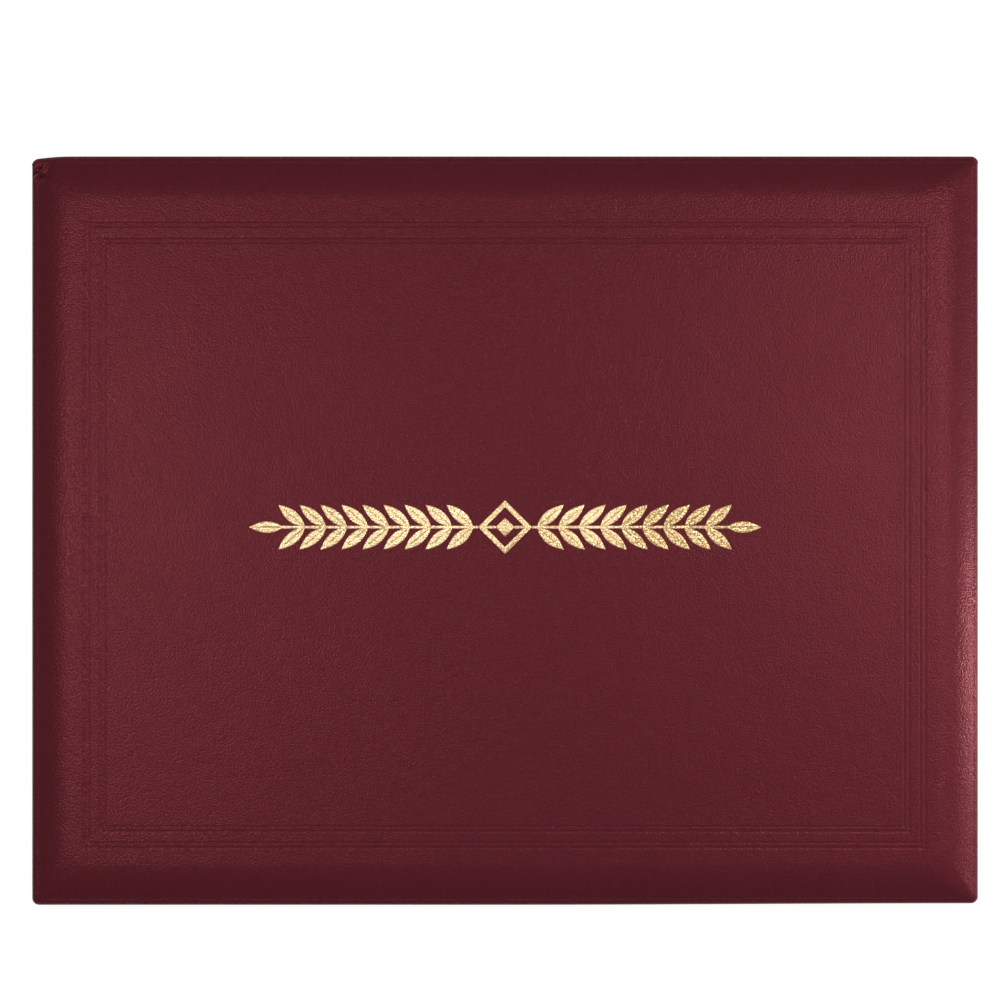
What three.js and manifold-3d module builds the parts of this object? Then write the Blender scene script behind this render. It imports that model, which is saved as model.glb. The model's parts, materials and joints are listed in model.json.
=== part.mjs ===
// A padded diploma cover, closed and lying on its back cover, in millimetres with +Z up.
// Its spine runs along +Y, its padded front faces +Z, and the origin is under the middle of the cover.
// Each cover is a greyboard wrapped in leatherette and lined with moire fabric on a card.
import * as THREE from "three";
import { mergeVertices } from "three/addons/utils/BufferGeometryUtils.js";
import Module from "manifold-3d";

const wasm = await Module();
wasm.setup();

// Outside of the closed cover, seen from above
const COVER_WIDTH = 298.5;
const COVER_DEPTH = 236.2;
const CORNER_RADIUS = 2.2;

// Thickness of each layer
const LEATHERETTE = 0.7;
const BOARD = 2;
const LINER_CARD = 1;
const MOIRE = 0.3;
const RIBBON = 0.35;
const FOIL = 0.15;
const SPINE_STRIP = 0.5;
const GLUE = 0.1;

// Wrapping of the leatherette round a board
const EDGE_RADIUS = 1.8;
const INNER_EDGE_RADIUS = 1;
const TURN_IN = 15;

// Padding of the front: a slope up from the edge, then a shoulder that rolls over to the flat field
const BEVEL_WIDTH = 7;
const BEVEL_ANGLE = THREE.MathUtils.degToRad(23);
const SHOULDER_WIDTH = 6;
const FOAM_EDGE = 0.4;

// Blind-embossed frame: two bands, each of a wide groove and a narrow one, with a ridge between them
const FRAME_WIDTH = 265.5;
const FRAME_DEPTH = 198.1;
const FRAME_X = -0.15;
const FRAME_Y = -1.1;
const BAND_PITCH = 5.1;
const WIDE_GROOVE = 1.2;
const NARROW_GROOVE = 0.8;
const GROOVE_RIDGE = 0.6;
const GROOVE_DEPTH = 0.35;
const GROOVE_WALL = 0.25;

// Linings and the ribbons across the corners of the back lining
const LINER_MARGIN = 5;
const LINING_GAP = 0.9;
const RIBBON_WIDTH = 12;
const RIBBON_REACH = 44;

// Spine and the two folds beside it
const HINGE_SETBACK = 2.6;
const HINGE_GAP = 0.3;
const SPINE_STRIP_MARGIN = 4;

// Gold ornament: two laurel sprays on one stem, which meet at a lozenge
const ORNAMENT_LENGTH = 161;
const ORNAMENT_Y = 1.2;
const STEM_WIDTH = 1;
const LOZENGE_WIDTH = 17;
const LOZENGE_HEIGHT = 17;
const LOZENGE_BAND = 1.6;
const LOZENGE_HEART = 6;
const LEAF_LENGTH = 11;
const LEAF_WIDTH = 3.6;
const LEAF_ANGLE = THREE.MathUtils.degToRad(40);
const LEAF_PITCH = 6.6;
const LEAF_GAP = 1.5;

// Running clearance between neighbours that are curved, cut or turned in
const FIT = 0.3;
// Corner radius of the rings that lie further in than the outline's own corner
const SHARP_RADIUS = 0.2;
const CORNER_STEPS = 4;
const ARC_STEPS = 4;
const SHOULDER_STEPS = 6;

const materials = {
  leatherette: new THREE.MeshStandardMaterial({ color: 0x5e272d, roughness: 0.45, metalness: 0 }),
  greyboard: new THREE.MeshStandardMaterial({ color: 0x8d857a, roughness: 0.95, metalness: 0 }),
  foam: new THREE.MeshStandardMaterial({ color: 0xe4dfce, roughness: 1, metalness: 0 }),
  card: new THREE.MeshStandardMaterial({ color: 0xd9d6cd, roughness: 0.9, metalness: 0 }),
  moire: new THREE.MeshStandardMaterial({ color: 0xece6d6, roughness: 0.5, metalness: 0 }),
  ribbon: new THREE.MeshStandardMaterial({ color: 0xf3efe4, roughness: 0.35, metalness: 0 }),
  foil: new THREE.MeshStandardMaterial({ color: 0xe6c17e, roughness: 0.3, metalness: 1 }),
};

// Levels count outwards from the middle plane between the two covers, alike for both
const liningLevel = LINING_GAP / 2;
const cardLevel = liningLevel + MOIRE + GLUE;
const turnInLevel = cardLevel + LINER_CARD + GLUE;
const boardLevel = turnInLevel + LEATHERETTE + GLUE;
const boardTopLevel = boardLevel + BOARD;
const edgeLevel = boardTopLevel + GLUE + LEATHERETTE;
const foldLevel = edgeLevel - EDGE_RADIUS;
const FRONT = 1;
const BACK = -1;

// Rise of the flat field over the cover's edge
const crown =
  BEVEL_WIDTH * Math.tan(BEVEL_ANGLE) +
  SHOULDER_WIDTH * Math.tan(BEVEL_ANGLE / 2) -
  EDGE_RADIUS * (1 - Math.cos(BEVEL_ANGLE));
const fieldLevel = edgeLevel + crown;

const cover = { width: COVER_WIDTH, depth: COVER_DEPTH, x: 0, y: 0, radius: CORNER_RADIUS };
const emboss = { width: FRAME_WIDTH, depth: FRAME_DEPTH, x: FRAME_X, y: FRAME_Y, radius: 0 };
const liner = {
  width: COVER_WIDTH - 2 * LINER_MARGIN,
  depth: COVER_DEPTH - 2 * LINER_MARGIN,
  x: 0,
  y: 0,
  radius: 0,
};
// Boards keep clear of the wrap on three sides and stand back from the fold on the fourth
const boardSide = LEATHERETTE + FIT;
const board = {
  width: COVER_WIDTH - 2 * boardSide,
  depth: COVER_DEPTH - boardSide - HINGE_SETBACK,
  x: 0,
  y: (boardSide - HINGE_SETBACK) / 2,
  radius: CORNER_RADIUS - LEATHERETTE,
};

// One ring of a section: how far it lies inside its outline, and its level
const ring = (outline, inset, level) => ({ outline, inset, level });

// The corner points of a rounded rectangle, anticlockwise from above
function ringPoints({ outline, inset }) {
  const radius = Math.max(outline.radius - inset, SHARP_RADIUS);
  const halfWidth = outline.width / 2 - inset - radius;
  const halfDepth = outline.depth / 2 - inset - radius;
  const points = [];
  for (let corner = 0; corner < 4; corner++) {
    const sideX = corner === 0 || corner === 3 ? 1 : -1;
    const sideY = corner < 2 ? 1 : -1;
    for (let step = 0; step <= CORNER_STEPS; step++) {
      const angle = ((corner + step / CORNER_STEPS) * Math.PI) / 2;
      points.push([
        outline.x + sideX * halfWidth + radius * Math.cos(angle),
        outline.y + sideY * halfDepth + radius * Math.sin(angle),
      ]);
    }
  }
  return points;
}

// A closed body through rings that run from the middle of its outer face over its edge to the middle
// of its inner face. It faces +Z for the front cover and -Z for the back cover.
function nestedBody(rings, facing) {
  const loops = rings.map((one) => ringPoints(one).map(([x, y]) => [x, y, facing * one.level]));
  const count = loops[0].length;
  const vertices = loops.flat(2);
  const faces = [];
  const face = (a, b, c) => faces.push(...(facing === FRONT ? [a, b, c] : [a, c, b]));
  loops.slice(1).forEach((_, k) => {
    for (let j = 0; j < count; j++) {
      const here = k * count + j;
      const next = k * count + ((j + 1) % count);
      face(here, here + count, next + count);
      face(here, next + count, next);
    }
  });
  const cap = (k, upwards) => {
    const { outline, level } = rings[k];
    const middle = vertices.length / 3;
    vertices.push(outline.x, outline.y, facing * level);
    for (let j = 0; j < count; j++) {
      const here = k * count + j;
      const next = k * count + ((j + 1) % count);
      if (upwards) face(middle, here, next);
      else face(middle, next, here);
    }
  };
  cap(0, true);
  cap(rings.length - 1, false);
  const geometry = new THREE.BufferGeometry();
  geometry.setAttribute("position", new THREE.Float32BufferAttribute(vertices, 3));
  geometry.setIndex(faces);
  return geometry;
}

// The same run of rings, moved inwards by a wall thickness. The run starts at the rim of a flat face.
function offsetRings(rings, distance) {
  const last = rings.length - 1;
  const flat = [1, 0];
  const direction = (a, b) => {
    const across = a.inset - b.inset;
    const up = b.level - a.level;
    const length = Math.hypot(across, up);
    return [across / length, up / length];
  };
  return rings.map((one, i) => {
    const before = i === 0 ? flat : direction(rings[i - 1], one);
    const after = i === last ? before : direction(one, rings[i + 1]);
    const across = before[0] + after[0];
    const up = before[1] + after[1];
    const scale = (2 * distance) / (across * across + up * up);
    return ring(one.outline, one.inset - up * scale, one.level - across * scale);
  });
}

// Rings round a quarter or less of a circle in the section, between two angles in radians
function arcRings(inset, level, radius, from, to, steps = ARC_STEPS) {
  return Array.from({ length: steps + 1 }, (_, i) => {
    const angle = from + ((to - from) * i) / steps;
    return ring(cover, inset - radius * Math.cos(angle), level + radius * Math.sin(angle));
  });
}

// The padding's surface, from the flat field down to where the edge starts to round over
function paddedSlope() {
  const shoulderRadius = SHOULDER_WIDTH / Math.sin(BEVEL_ANGLE);
  const edgeInset = EDGE_RADIUS * (1 - Math.sin(BEVEL_ANGLE));
  const fieldInset = edgeInset + BEVEL_WIDTH + SHOULDER_WIDTH;
  const upright = Math.PI / 2;
  return arcRings(
    fieldInset,
    fieldLevel - shoulderRadius,
    shoulderRadius,
    upright,
    upright - BEVEL_ANGLE,
    SHOULDER_STEPS,
  );
}

// The wrap's outside below its face: the rounded edge, the wall and the turn-in on the inner face
function wrapEdge(startAngle) {
  const inner = turnInLevel + INNER_EDGE_RADIUS;
  return [
    ...arcRings(EDGE_RADIUS, edgeLevel - EDGE_RADIUS, EDGE_RADIUS, startAngle, 0),
    ...arcRings(INNER_EDGE_RADIUS, inner, INNER_EDGE_RADIUS, 0, -Math.PI / 2),
    ring(cover, TURN_IN, turnInLevel),
  ];
}

// The four grooves of the embossed frame, from the innermost outwards
function frameRings() {
  const narrowStart = WIDE_GROOVE + GROOVE_RIDGE;
  const grooves = [0, BAND_PITCH].flatMap((band) => [
    [band, band + WIDE_GROOVE],
    [band + narrowStart, band + narrowStart + NARROW_GROOVE],
  ]);
  const floor = fieldLevel - GROOVE_DEPTH;
  return grooves.reverse().flatMap(([outer, inner]) => [
    ring(emboss, inner, fieldLevel),
    ring(emboss, inner - GROOVE_WALL, floor),
    ring(emboss, outer + GROOVE_WALL, floor),
    ring(emboss, outer, fieldLevel),
  ]);
}

function toSolid(geometry) {
  const bare = geometry.clone();
  bare.deleteAttribute("normal");
  bare.deleteAttribute("uv");
  const merged = mergeVertices(bare, 1e-4);
  const mesh = new wasm.Mesh({
    numProp: 3,
    vertProperties: new Float32Array(merged.attributes.position.array),
    triVerts: new Uint32Array(merged.index.array),
  });
  return new wasm.Manifold(mesh);
}

function toGeometry(solid) {
  const { vertProperties, triVerts } = solid.getMesh();
  const geometry = new THREE.BufferGeometry();
  geometry.setAttribute("position", new THREE.BufferAttribute(vertProperties, 3));
  geometry.setIndex(new THREE.BufferAttribute(triVerts, 1));
  return geometry;
}

const join = (geometries) =>
  toGeometry(geometries.map(toSolid).reduce((whole, one) => whole.add(one)));

// Opens a wrap along the spine, so that it ends at the fold instead of turning in round the board
function openAtSpine(geometry) {
  const end = foldLevel + HINGE_GAP / 2;
  const opening = new THREE.BoxGeometry(2 * COVER_WIDTH, 2 * HINGE_SETBACK, 2 * end);
  opening.translate(0, COVER_DEPTH / 2, 0);
  return toGeometry(toSolid(geometry).subtract(toSolid(opening)));
}

function frontLeatherette() {
  const slope = paddedSlope();
  const edge = wrapEdge(Math.PI / 2 - BEVEL_ANGLE);
  const outside = [...slope, ...edge];
  const inside = offsetRings(outside, LEATHERETTE).reverse();
  return openAtSpine(nestedBody([...frameRings(), ...outside, ...inside], FRONT));
}

function backLeatherette() {
  const outside = wrapEdge(Math.PI / 2);
  const inside = offsetRings(outside, LEATHERETTE).reverse();
  return openAtSpine(nestedBody([...outside, ...inside], BACK));
}

// A greyboard, its outer edge crushed round by the wrap
function coverBoard(facing) {
  const radius = EDGE_RADIUS - LEATHERETTE;
  const rounded = Array.from({ length: ARC_STEPS + 1 }, (_, i) => {
    const angle = (Math.PI / 2) * (1 - i / ARC_STEPS);
    return ring(
      board,
      radius * (1 - Math.cos(angle)),
      boardTopLevel - radius * (1 - Math.sin(angle)),
    );
  });
  return nestedBody([...rounded, ring(board, 0, boardLevel)], facing);
}

// The foam under the front's leatherette, thinned out before it reaches the board's edge
function foamPad() {
  const top = offsetRings(
    [...paddedSlope(), ...wrapEdge(Math.PI / 2 - BEVEL_ANGLE)],
    LEATHERETTE + FIT,
  );
  const bottom = boardTopLevel + GLUE;
  const thin = bottom + FOAM_EDGE;
  const slope = top.filter(({ level }) => level > thin);
  const ends = top[slope.length];
  const last = slope[slope.length - 1];
  const share = (last.level - thin) / (last.level - ends.level);
  const edgeInset = last.inset + (ends.inset - last.inset) * share;
  const feather = ring(cover, Math.max(edgeInset, HINGE_SETBACK), thin);
  return nestedBody([...slope, feather, ring(cover, feather.inset, bottom)], FRONT);
}

// Moire fabric over the face and the edges of its card
function moireLining(facing) {
  return nestedBody(
    [
      ring(liner, MOIRE, liningLevel + MOIRE),
      ring(liner, MOIRE, turnInLevel - GLUE),
      ring(liner, 0, turnInLevel - GLUE),
      ring(liner, 0, liningLevel),
    ],
    facing,
  );
}

const linerCard = (facing) =>
  nestedBody(
    [ring(liner, MOIRE + FIT, turnInLevel - GLUE), ring(liner, MOIRE + FIT, cardLevel)],
    facing,
  );

// A ribbon across one corner of the back lining, turned down over the lining's edges at both ends
function cornerRibbon(sideX, sideY) {
  const near = RIBBON_REACH - RIBBON_WIDTH / Math.SQRT2;
  const far = RIBBON_REACH + RIBBON_WIDTH / Math.SQRT2;
  const out = FIT + RIBBON;
  const place = (fromX, fromY) =>
    new THREE.Vector2(sideX * (liner.width / 2 - fromX), sideY * (liner.depth / 2 - fromY));
  const slab = (corners, bottom, top) => {
    const shape = new THREE.Shape(corners.map(([x, y]) => place(x, y)));
    const geometry = new THREE.ExtrudeGeometry(shape, { depth: top - bottom, bevelEnabled: false });
    return geometry.translate(0, 0, bottom);
  };
  const face = BACK * liningLevel + GLUE;
  const top = face + RIBBON;
  const foot = BACK * turnInLevel + GLUE;
  const band = [
    [-out, near],
    [0, near],
    [near, 0],
    [near, -out],
    [far, -out],
    [far, 0],
    [0, far],
    [-out, far],
  ];
  const lip = [
    [-out, near],
    [-FIT, near],
    [-FIT, far],
    [-out, far],
  ];
  const swapped = lip.map(([x, y]) => [y, x]);
  return join([slab(band, face, top), slab(lip, foot, top), slab(swapped, foot, top)]);
}

const foilPiece = (shape) =>
  new THREE.ExtrudeGeometry(shape, { depth: FOIL, bevelEnabled: false, curveSegments: 5 });

function leafFoil(x, angle) {
  const shape = new THREE.Shape();
  const bulge = LEAF_LENGTH * 0.45;
  shape.moveTo(0, 0);
  shape.quadraticCurveTo(bulge, -LEAF_WIDTH, LEAF_LENGTH, 0);
  shape.quadraticCurveTo(bulge, LEAF_WIDTH, 0, 0);
  return foilPiece(shape).rotateZ(angle).translate(x, 0, 0);
}

const lozengeShape = (width, height) =>
  new THREE.Shape([
    new THREE.Vector2(width / 2, 0),
    new THREE.Vector2(0, height / 2),
    new THREE.Vector2(-width / 2, 0),
    new THREE.Vector2(0, -height / 2),
  ]);

function goldOrnament() {
  const lozenge = lozengeShape(LOZENGE_WIDTH, LOZENGE_HEIGHT);
  const band = LOZENGE_BAND * 2 * Math.SQRT2;
  lozenge.holes.push(lozengeShape(LOZENGE_WIDTH - band, LOZENGE_HEIGHT - band));
  const stemLength = ORNAMENT_LENGTH - 2 * (LEAF_LENGTH - STEM_WIDTH);
  const stem = new THREE.BoxGeometry(stemLength, STEM_WIDTH, FOIL).translate(0, 0, FOIL / 2);
  const pieces = [stem, foilPiece(lozenge), foilPiece(lozengeShape(LOZENGE_HEART, LOZENGE_HEART))];
  const firstLeaf = LOZENGE_WIDTH / 2 + LEAF_GAP;
  for (const side of [-1, 1]) {
    const outwards = side > 0 ? 0 : Math.PI;
    pieces.push(leafFoil(side * (stemLength / 2 - STEM_WIDTH), outwards));
    for (let x = firstLeaf; x < stemLength / 2 - LEAF_PITCH / 2; x += LEAF_PITCH) {
      pieces.push(leafFoil(side * x, outwards + LEAF_ANGLE));
      pieces.push(leafFoil(side * x, outwards - LEAF_ANGLE));
    }
  }
  return join(pieces).translate(0, ORNAMENT_Y, fieldLevel + GLUE);
}

// A strip of the spine, given by its thickness, its distance inside the outer face and its margins
function spineStrip(thickness, depth, endMargin, foldMargin) {
  const width = COVER_WIDTH - 2 * CORNER_RADIUS - 2 * endMargin;
  const height = 2 * (foldLevel - foldMargin);
  return new THREE.BoxGeometry(width, thickness, height).translate(0, -depth - thickness / 2, 0);
}

function mesh(name, geometry, material) {
  const made = new THREE.Mesh(geometry, material.clone());
  made.name = name;
  return made;
}

// Both covers and the spine hang on the middle plane, so that the back cover's underside is at zero
const backCover = new THREE.Group();
backCover.position.z = edgeLevel;
backCover.add(mesh("back_leatherette", backLeatherette(), materials.leatherette));
backCover.add(mesh("back_board", coverBoard(BACK), materials.greyboard));
backCover.add(mesh("back_liner_card", linerCard(BACK), materials.card));
backCover.add(mesh("back_moire_lining", moireLining(BACK), materials.moire));
for (const [endName, sideY] of [["spine", 1], ["front", -1]]) {
  for (const [handName, sideX] of [["left", -1], ["right", 1]]) {
    const name = `corner_ribbon_${endName}_${handName}`;
    backCover.add(mesh(name, cornerRibbon(sideX, sideY), materials.ribbon));
  }
}

const spine = new THREE.Group();
spine.position.set(0, COVER_DEPTH / 2, edgeLevel);
spine.add(
  mesh("spine_leatherette", spineStrip(LEATHERETTE, 0, 0, HINGE_GAP / 2), materials.leatherette),
);
spine.add(
  mesh(
    "spine_inner_strip",
    spineStrip(SPINE_STRIP, LEATHERETTE + GLUE, SPINE_STRIP_MARGIN, HINGE_GAP),
    materials.leatherette,
  ),
);

const frontCover = new THREE.Group();
frontCover.position.z = edgeLevel;
frontCover.add(mesh("front_leatherette", frontLeatherette(), materials.leatherette));
frontCover.add(mesh("front_foam_pad", foamPad(), materials.foam));
frontCover.add(mesh("front_board", coverBoard(FRONT), materials.greyboard));
frontCover.add(mesh("front_liner_card", linerCard(FRONT), materials.card));
frontCover.add(mesh("front_moire_lining", moireLining(FRONT), materials.moire));
frontCover.add(mesh("gold_ornament", goldOrnament(), materials.foil));

const diplomaCover = new THREE.Group();
diplomaCover.add(backCover, spine, frontCover);

export default diplomaCover;
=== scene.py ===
# A padded diploma cover of burgundy leatherette, closed and lying on its back, seen from straight above.
import json
import math

import bmesh
import bpy
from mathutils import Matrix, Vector, noise


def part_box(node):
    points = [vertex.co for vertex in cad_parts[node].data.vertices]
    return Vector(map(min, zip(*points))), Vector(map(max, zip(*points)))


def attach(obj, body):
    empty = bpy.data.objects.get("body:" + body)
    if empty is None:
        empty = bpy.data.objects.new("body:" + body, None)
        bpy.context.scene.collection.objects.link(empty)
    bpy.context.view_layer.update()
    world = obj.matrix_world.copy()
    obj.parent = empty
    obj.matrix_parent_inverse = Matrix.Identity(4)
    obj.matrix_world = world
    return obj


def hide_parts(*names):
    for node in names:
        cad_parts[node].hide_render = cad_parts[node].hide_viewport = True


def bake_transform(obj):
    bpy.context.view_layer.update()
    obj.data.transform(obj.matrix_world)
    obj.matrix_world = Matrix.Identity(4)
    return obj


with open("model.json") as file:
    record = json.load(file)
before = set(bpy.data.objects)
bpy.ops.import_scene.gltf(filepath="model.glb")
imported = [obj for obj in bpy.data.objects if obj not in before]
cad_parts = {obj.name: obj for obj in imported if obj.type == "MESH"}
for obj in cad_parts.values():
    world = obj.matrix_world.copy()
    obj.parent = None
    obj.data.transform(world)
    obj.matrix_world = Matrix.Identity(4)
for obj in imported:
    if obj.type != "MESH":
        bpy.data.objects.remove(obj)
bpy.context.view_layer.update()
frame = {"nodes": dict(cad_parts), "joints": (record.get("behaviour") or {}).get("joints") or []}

# Camera
# A long lens straight above the cover, so that its edges hardly widen. The photograph shows the cover
# a little right of and below the middle of its frame, with the spine along the top.
MM = 0.001
FRAME_PIXEL = 0.3157 * MM
PIXELS_ACROSS = 1000
FRAME_SIDE = PIXELS_ACROSS * FRAME_PIXEL
COVER_RIGHT_OF_MIDDLE = 5.0 * FRAME_PIXEL
COVER_BELOW_MIDDLE = 30.8 * FRAME_PIXEL
LENS_MM = 135
SENSOR_MM = 36

FOLD_HEIGHTS = {joint["name"]: joint["pos_m"][2] for joint in frame["joints"]}
FRONT_FOLD = FOLD_HEIGHTS["front_hinge"]

lens = bpy.data.cameras.new("camera")
lens.lens = LENS_MM
lens.sensor_width = SENSOR_MM
camera = bpy.data.objects.new("camera", lens)
bpy.context.scene.collection.objects.link(camera)
camera.location = (
    -COVER_RIGHT_OF_MIDDLE,
    COVER_BELOW_MIDDLE,
    FRONT_FOLD + FRAME_SIDE * LENS_MM / SENSOR_MM,
)
bpy.context.scene.camera = camera
bpy.context.scene.view_settings.view_transform = "Standard"


# Floor and studio light
# A white paper sweep. Two softboxes hang above the left and right edges and leave the middle of the cover
# a little darker; a low one far off and a small strip light close by give the sheen of the right-hand edge.
FLOOR_HALF = 12.0
FLOOR_WHITE = "#f4f4f4"
FLOOR_GLOW = 0.9
PAPER_BRIGHTNESS = 1.06
STUDIO_GREY = 0.14
BACK_FOLD = FOLD_HEIGHTS["spine_hinge"]
MIDDLE = (FRONT_FOLD + BACK_FOLD) / 2


def linear(hex_colour):
    """The linear RGBA of an sRGB hex colour."""
    channels = [int(hex_colour[i : i + 2], 16) / 255 for i in (1, 3, 5)]
    return [c / 12.92 if c <= 0.04045 else ((c + 0.055) / 1.055) ** 2.4 for c in channels] + [1.0]


def add(tree, kind, links=(), **settings):
    """Adds a node with its settings; links gives each input a value or another node's socket."""
    made = tree.nodes.new(kind)
    for name, value in settings.items():
        setattr(made, name, value)
    for name, value in dict(links).items():
        if isinstance(value, bpy.types.NodeSocket):
            tree.links.new(value, made.inputs[name])
        else:
            made.inputs[name].default_value = value
    return made


def new_material(name):
    """A material without nodes, and its tree."""
    material = bpy.data.materials.new(name)
    material.use_nodes = True
    material.node_tree.nodes.clear()
    return material, material.node_tree


def to_object(name, mesh, material):
    """A mesh as a named object of one material, at the origin."""
    made = bpy.data.objects.new(name, mesh)
    bpy.context.scene.collection.objects.link(made)
    mesh.materials.clear()
    mesh.materials.append(material)
    return made


# White paper, matt: its glow, seen only by the camera and in reflections, clips to white and leaves the
# object's soft shadow
white_paper, tree = new_material("white paper sweep")
rays = add(tree, "ShaderNodeLightPath").outputs
seen = rays["Is Camera Ray"]
for kind in ("Is Glossy Ray", "Is Transmission Ray"):
    seen = add(tree, "ShaderNodeMath", {0: seen, 1: rays[kind]}, operation="MAXIMUM").outputs[0]
share = add(tree, "ShaderNodeMath", {0: seen, 1: FLOOR_GLOW}, operation="MULTIPLY")
paper = add(tree, "ShaderNodeBsdfDiffuse", {"Color": linear(FLOOR_WHITE)})
glow = add(tree, "ShaderNodeEmission", {"Strength": PAPER_BRIGHTNESS})
mixed = add(tree, "ShaderNodeMixShader", {0: share.outputs[0], 1: paper.outputs[0], 2: glow.outputs[0]})
add(tree, "ShaderNodeOutputMaterial", {"Surface": mixed.outputs[0]})

floor_mesh = bpy.data.meshes.new("floor")
corners = [(x * FLOOR_HALF, y * FLOOR_HALF, 0.0) for x, y in ((-1, -1), (1, -1), (1, 1), (-1, 1))]
floor_mesh.from_pydata(corners, [], [(0, 1, 2, 3)])
to_object("floor", floor_mesh, white_paper)

world = bpy.data.worlds.new("studio")
world.use_nodes = True
world.node_tree.nodes["Background"].inputs["Color"].default_value = (1, 1, 1, 1)
world.node_tree.nodes["Background"].inputs["Strength"].default_value = STUDIO_GREY
bpy.context.scene.world = world


def softbox(name, place, size, watts):
    """A rectangular light that faces the cover's middle and isn't seen itself."""
    light = bpy.data.lights.new(name, "AREA")
    light.shape = "RECTANGLE"
    light.size, light.size_y = size
    light.energy = watts
    box = bpy.data.objects.new(name, light)
    bpy.context.scene.collection.objects.link(box)
    box.location = place
    box.visible_camera = False
    box.rotation_euler = (Vector((0, 0, MIDDLE)) - Vector(place)).to_track_quat("-Z", "Y").to_euler()


softbox("softbox right", (0.30, 0.08, 0.58), (0.12, 0.16), 1.72)
softbox("softbox left", (-0.26, 0.01, 0.56), (0.12, 0.2), 1.38)
softbox("softbox far right", (1.0, -0.12, 0.36), (0.2, 0.2), 1.8)
softbox("strip light", (0.30, -0.045, 0.06), (0.015, 0.04), 0.22)


# Leatherette of the back cover
# PU-coated cloth with a fine pebble grain, drawn flat over the back board, round its edges and glued down
# inside as a turn-in. It is cut along the spine, where the spine's strip goes on.
skin_low, skin_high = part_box("front_leatherette")
COVER_HALF = ((skin_high.x - skin_low.x) / 2, (skin_high.y - skin_low.y) / 2)
LEATHERETTE = 0.7 * MM
CORNER_RADIUS = 2.2 * MM
EDGE_RADIUS = 1.8 * MM
INNER_EDGE_RADIUS = 1.0 * MM
TURN_IN = 15 * MM
SHARP_RADIUS = 0.15 * MM
SEAM_PAST_FOLD = 0.9 * MM
EDGE_TOP = 2 * MIDDLE
INNER_FACE = skin_low.z
SEAM = FRONT_FOLD + SEAM_PAST_FOLD
UPRIGHT = math.pi / 2
CREASE_ANGLE = math.radians(40)
CORNER_SLACK = 0.8 * MM
CORNER_SLACK_LENGTH = 6 * MM
SLACK_REACH = 20 * MM
FRONT_EDGE_ASKEW = 0.5 * MM

# Segments of one ring along the long sides, the short sides and round each corner; points gather near
# the corners, where the folds are
LONG_STEPS, SHORT_STEPS, CORNER_STEPS = 120, 96, 8
CROWDING = 0.8
RING_STEP = 12 * MM
EDGE_STEPS, INNER_EDGE_STEPS = 8, 5


def crowded(count):
    """Shares from 0 to just below 1, closer together at both ends."""
    turn = 2 * math.pi
    return [i / count - CROWDING * math.sin(turn * i / count) / turn for i in range(count)]


def ring(half, radius, inset, height, middle=(0.0, 0.0)):
    """Points of a rounded rectangle, anticlockwise from its right side."""
    r = max(radius, SHARP_RADIUS)
    a, b = half[0] - inset - r, half[1] - inset - r
    turns = ((1, 1), (-1, 1), (-1, -1), (1, -1))
    points = []
    for corner, (sx, sy) in enumerate(turns):
        for step in range(CORNER_STEPS):
            angle = (corner + step / CORNER_STEPS) * UPRIGHT
            points.append((sx * a + r * math.cos(angle), sy * b + r * math.sin(angle)))
        end = (corner + 1) * UPRIGHT
        first, last = (
            (x * a + r * math.cos(end), y * b + r * math.sin(end))
            for x, y in ((sx, sy), turns[(corner + 1) % 4])
        )
        for t in crowded(LONG_STEPS if corner % 2 == 0 else SHORT_STEPS):
            points.append(tuple(p + (q - p) * t for p, q in zip(first, last)))
    return [(x + middle[0], y + middle[1], height) for x, y in points]


def finished(name, shape):
    """The mesh of a bmesh, with its faces out, smooth but for its sharp rims."""
    bmesh.ops.remove_doubles(shape, verts=shape.verts, dist=1e-7)
    bmesh.ops.recalc_face_normals(shape, faces=shape.faces)
    mesh = bpy.data.meshes.new(name)
    shape.to_mesh(mesh)
    shape.free()
    mesh.polygons.foreach_set("use_smooth", [True] * len(mesh.polygons))
    mesh.set_sharp_from_angle(angle=CREASE_ANGLE)
    return mesh


def loft(name, rings, mirrored=False, around=False):
    """A closed mesh through rings, with caps at both ends unless it goes around; mirrored turns it over."""
    shape = bmesh.new()
    rows = [[shape.verts.new((x, y, EDGE_TOP - z if mirrored else z)) for x, y, z in one] for one in rings]
    pairs = list(zip(rows, rows[1:]))
    if around:
        pairs.append((rows[-1], rows[0]))
    else:
        shape.faces.new(rows[0])
        shape.faces.new(rows[-1])
    for one, other in pairs:
        for j in range(len(one)):
            k = (j + 1) % len(one)
            shape.faces.new((one[j], other[j], other[k], one[k]))
    return finished(name, shape)


def arc(inset, height, radius, start, end, steps):
    """Section points round part of a circle, as (inset, height)."""
    angles = (start + (end - start) * i / steps for i in range(steps + 1))
    return [(inset - radius * math.cos(a), height + radius * math.sin(a)) for a in angles]


def offset(section, distance):
    """A section moved inwards by a wall's thickness; it starts at the rim of a flat face."""
    moved = []
    for i, (inset, height) in enumerate(section):
        steps = []
        for (d0, z0), (d1, z1) in zip(section[max(i - 1, 0) : i + 1], section[i : i + 2]):
            length = math.hypot(d1 - d0, z1 - z0)
            if length > 0:
                steps.append(((d0 - d1) / length, (z1 - z0) / length))
        if i == 0:
            steps = [(1.0, 0.0)] + steps
        across, up = (sum(s[k] for s in steps) for k in (0, 1))
        scale = len(steps) * distance / (across * across + up * up)
        moved.append((inset - up * scale, height - across * scale))
    return moved


def turn_in():
    """The section round the inner edge and along the turn-in."""
    centre = INNER_FACE + INNER_EDGE_RADIUS
    points = arc(INNER_EDGE_RADIUS, centre, INNER_EDGE_RADIUS, 0, -UPRIGHT, INNER_EDGE_STEPS)
    return points + [(TURN_IN / 2, INNER_FACE), (TURN_IN, INNER_FACE)]


def smooth(t):
    """A soft step from 0 to 1."""
    t = min(max(t, 0.0), 1.0)
    return t * t * (3 - 2 * t)


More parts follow.
